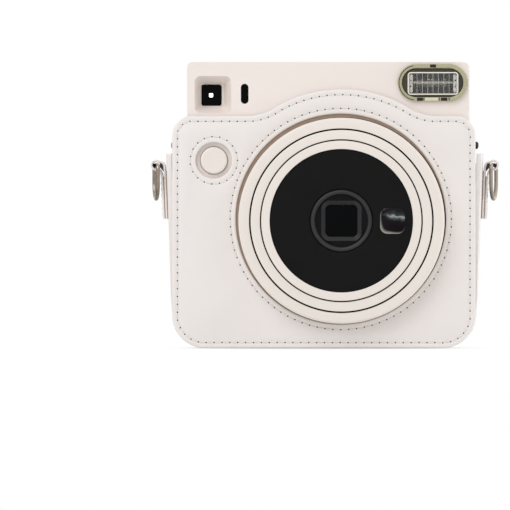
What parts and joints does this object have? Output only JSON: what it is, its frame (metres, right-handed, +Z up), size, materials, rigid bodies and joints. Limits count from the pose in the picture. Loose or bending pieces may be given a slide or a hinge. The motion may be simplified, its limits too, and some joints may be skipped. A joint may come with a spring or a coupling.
{
  "type": "instant camera in a leather half-case",
  "caption": "White square-format instant camera with a telescoping lens, flash, film door and film drive, worn in a stitched white leather half-case with strap rings.",
  "frame": {"origin": "middle of the half-case's flat bottom", "axes": "+Z up, the lens faces -Y, +X is to the right of someone who looks at the lens"},
  "size_m": [0.1548, 0.0609, 0.1267],
  "materials": {
    "white_shell": "satin moulded plastic",
    "white_ring": "satin moulded plastic",
    "white_leather": "smooth coated leather",
    "black_gloss": "polished",
    "black_plastic": "moulded",
    "grey_plastic": "moulded",
    "clear": "clear moulded",
    "dark_glass": "polished dark window",
    "mirror": "polished",
    "steel": "polished",
    "reflector": "bright",
    "board": "solder mask",
    "rubber": "ground",
    "cell_wrap": "plain wrap"
  },
  "bodies": {
    "camera": {"front_cover": "white_shell", "rear_cover": "white_shell", "door_hinge_pin": "steel", "case_front_panel": "white_leather", "case_gusset": "white_leather", "case_back_panel": "white_leather", "press_stud_left": "steel", "press_stud_right": "steel", "strap_tab_left": "white_leather", "strap_tab_right": "white_leather", "strap_lug_left": "black_plastic", "strap_lug_right": "black_plastic", "lens_mount": "black_plastic", "viewfinder_tunnel": "black_plastic", "viewfinder_window": "dark_glass", "eyepiece_lens": "dark_glass", "sensor_window": "dark_glass", "flash_window": "clear", "flash_reflector": "reflector", "flash_tube": "clear", "flash_capacitor": "black_plastic", "release_switch": "black_plastic", "circuit_board": "board", "film_chamber": "black_plastic", "film_pack": "black_plastic", "light_cone": "black_plastic", "drive_motor": "steel", "roller_frame": "steel", "battery_holder": "black_plastic", "battery_cell_lower": "cell_wrap", "battery_cell_upper": "cell_wrap", "counter_window": "dark_glass"},
    "shutter_button": {"shutter_button": "white_ring"},
    "lens_dial": {"lens_dial": "white_ring"},
    "mid_barrel": {"mid_barrel": "white_ring"},
    "inner_barrel": {"inner_barrel": "white_ring", "lens_plate": "black_gloss", "lens_bezel": "grey_plastic", "lens_window": "dark_glass", "lens_holder": "black_plastic", "front_lens": "clear", "rear_lens": "clear", "shutter_plate": "black_plastic", "selfie_mirror": "mirror"},
    "shutter_blade_left": {"shutter_blade_left": "black_plastic"},
    "shutter_blade_right": {"shutter_blade_right": "black_plastic"},
    "film_door": {"film_door": "white_shell", "film_window": "dark_glass"},
    "door_latch": {"door_latch": "grey_plastic"},
    "battery_door": {"battery_door": "white_shell"},
    "film_flap": {"film_flap": "black_plastic"},
    "drive_roller": {"drive_roller": "rubber"},
    "pinch_roller": {"pinch_roller": "rubber"},
    "idler_gear": {"idler_gear": "grey_plastic"},
    "motor_pinion": {"motor_pinion": "steel"},
    "counter_dial": {"counter_dial": "white_ring"},
    "strap_ring_left": {"strap_ring_left": "steel"},
    "strap_ring_right": {"strap_ring_right": "steel"}
  },
  "joints": [
    {"name": "shutter_press", "type": "slide", "parent": "camera", "child": "shutter_button", "axis": [0, 1, 0], "range_m": [0, 0.0012], "stiffness_N_per_m": 400},
    {"name": "lens_dial_turn", "type": "hinge", "parent": "camera", "child": "lens_dial", "pos_m": [0.00795, 0, 0.0564], "axis": [0, -1, 0], "range_deg": [0, 60]},
    {"name": "mid_barrel_extend", "type": "slide", "parent": "camera", "child": "mid_barrel", "axis": [0, -1, 0], "range_m": [0, 0.005]},
    {"name": "inner_barrel_extend", "type": "slide", "parent": "camera", "child": "inner_barrel", "axis": [0, -1, 0], "range_m": [0, 0.01]},
    {"name": "shutter_blade_left_swing", "type": "hinge", "parent": "inner_barrel", "child": "shutter_blade_left", "pos_m": [-0.01005, 0, 0.0564], "axis": [0, -1, 0], "range_deg": [0, 55], "stiffness_Nm_per_rad": 0.0004},
    {"name": "shutter_blade_right_swing", "type": "hinge", "parent": "inner_barrel", "child": "shutter_blade_right", "pos_m": [0.02595, 0, 0.0564], "axis": [0, -1, 0], "range_deg": [0, 55]},
    {"name": "film_door_swing", "type": "hinge", "parent": "camera", "child": "film_door", "pos_m": [0.0517, 0.0239, 0.056], "axis": [0, 0, -1], "range_deg": [0, 105]},
    {"name": "door_latch_slide", "type": "slide", "parent": "camera", "child": "door_latch", "axis": [0, 0, 1], "range_m": [0, 0.004], "stiffness_N_per_m": 150},
    {"name": "battery_door_swing", "type": "hinge", "parent": "camera", "child": "battery_door", "pos_m": [-0.0542, -0.0065, 0.0026], "axis": [0, 1, 0], "range_deg": [0, 100]},
    {"name": "film_flap_swing", "type": "hinge", "parent": "camera", "child": "film_flap", "pos_m": [0.00795, 0.0014, 0.12575], "axis": [1, 0, 0], "range_deg": [0, 80], "stiffness_Nm_per_rad": 0.0005},
    {"name": "drive_roller_spin", "type": "hinge", "parent": "camera", "child": "drive_roller", "pos_m": [0, 0.007, 0.1095], "axis": [1, 0, 0], "continuous": true},
    {"name": "pinch_roller_spin", "type": "hinge", "parent": "camera", "child": "pinch_roller", "pos_m": [0, -0.002, 0.1095], "axis": [1, 0, 0], "continuous": true},
    {"name": "idler_gear_spin", "type": "hinge", "parent": "camera", "child": "idler_gear", "pos_m": [0.0577, 0.00322, 0.09421], "axis": [1, 0, 0], "continuous": true},
    {"name": "motor_pinion_spin", "type": "hinge", "parent": "camera", "child": "motor_pinion", "pos_m": [0.0577, -0.011, 0.099], "axis": [1, 0, 0], "continuous": true},
    {"name": "counter_dial_turn", "type": "hinge", "parent": "camera", "child": "counter_dial", "pos_m": [-0.052, 0.0185, 0.04], "axis": [0, -1, 0], "range_deg": [0, 300]},
    {"name": "strap_ring_left_swing", "type": "hinge", "parent": "camera", "child": "strap_ring_left", "pos_m": [-0.075, 0, 0.081], "axis": [0, 1, 0], "range_deg": [0, 150]},
    {"name": "strap_ring_right_swing", "type": "hinge", "parent": "camera", "child": "strap_ring_right", "pos_m": [0.075, 0, 0.081], "axis": [0, -1, 0], "range_deg": [0, 150]}
  ],
  "couplings": [
    {"joint": "mid_barrel_extend", "follows": "lens_dial_turn", "m_per_rad": 0.004774},
    {"joint": "inner_barrel_extend", "follows": "lens_dial_turn", "m_per_rad": 0.009549},
    {"joint": "shutter_blade_right_swing", "follows": "shutter_blade_left_swing", "ratio": 1},
    {"joint": "pinch_roller_spin", "follows": "drive_roller_spin", "ratio": -1},
    {"joint": "idler_gear_spin", "follows": "drive_roller_spin", "ratio": -0.4},
    {"joint": "motor_pinion_spin", "follows": "drive_roller_spin", "ratio": 1.2}
  ]
}
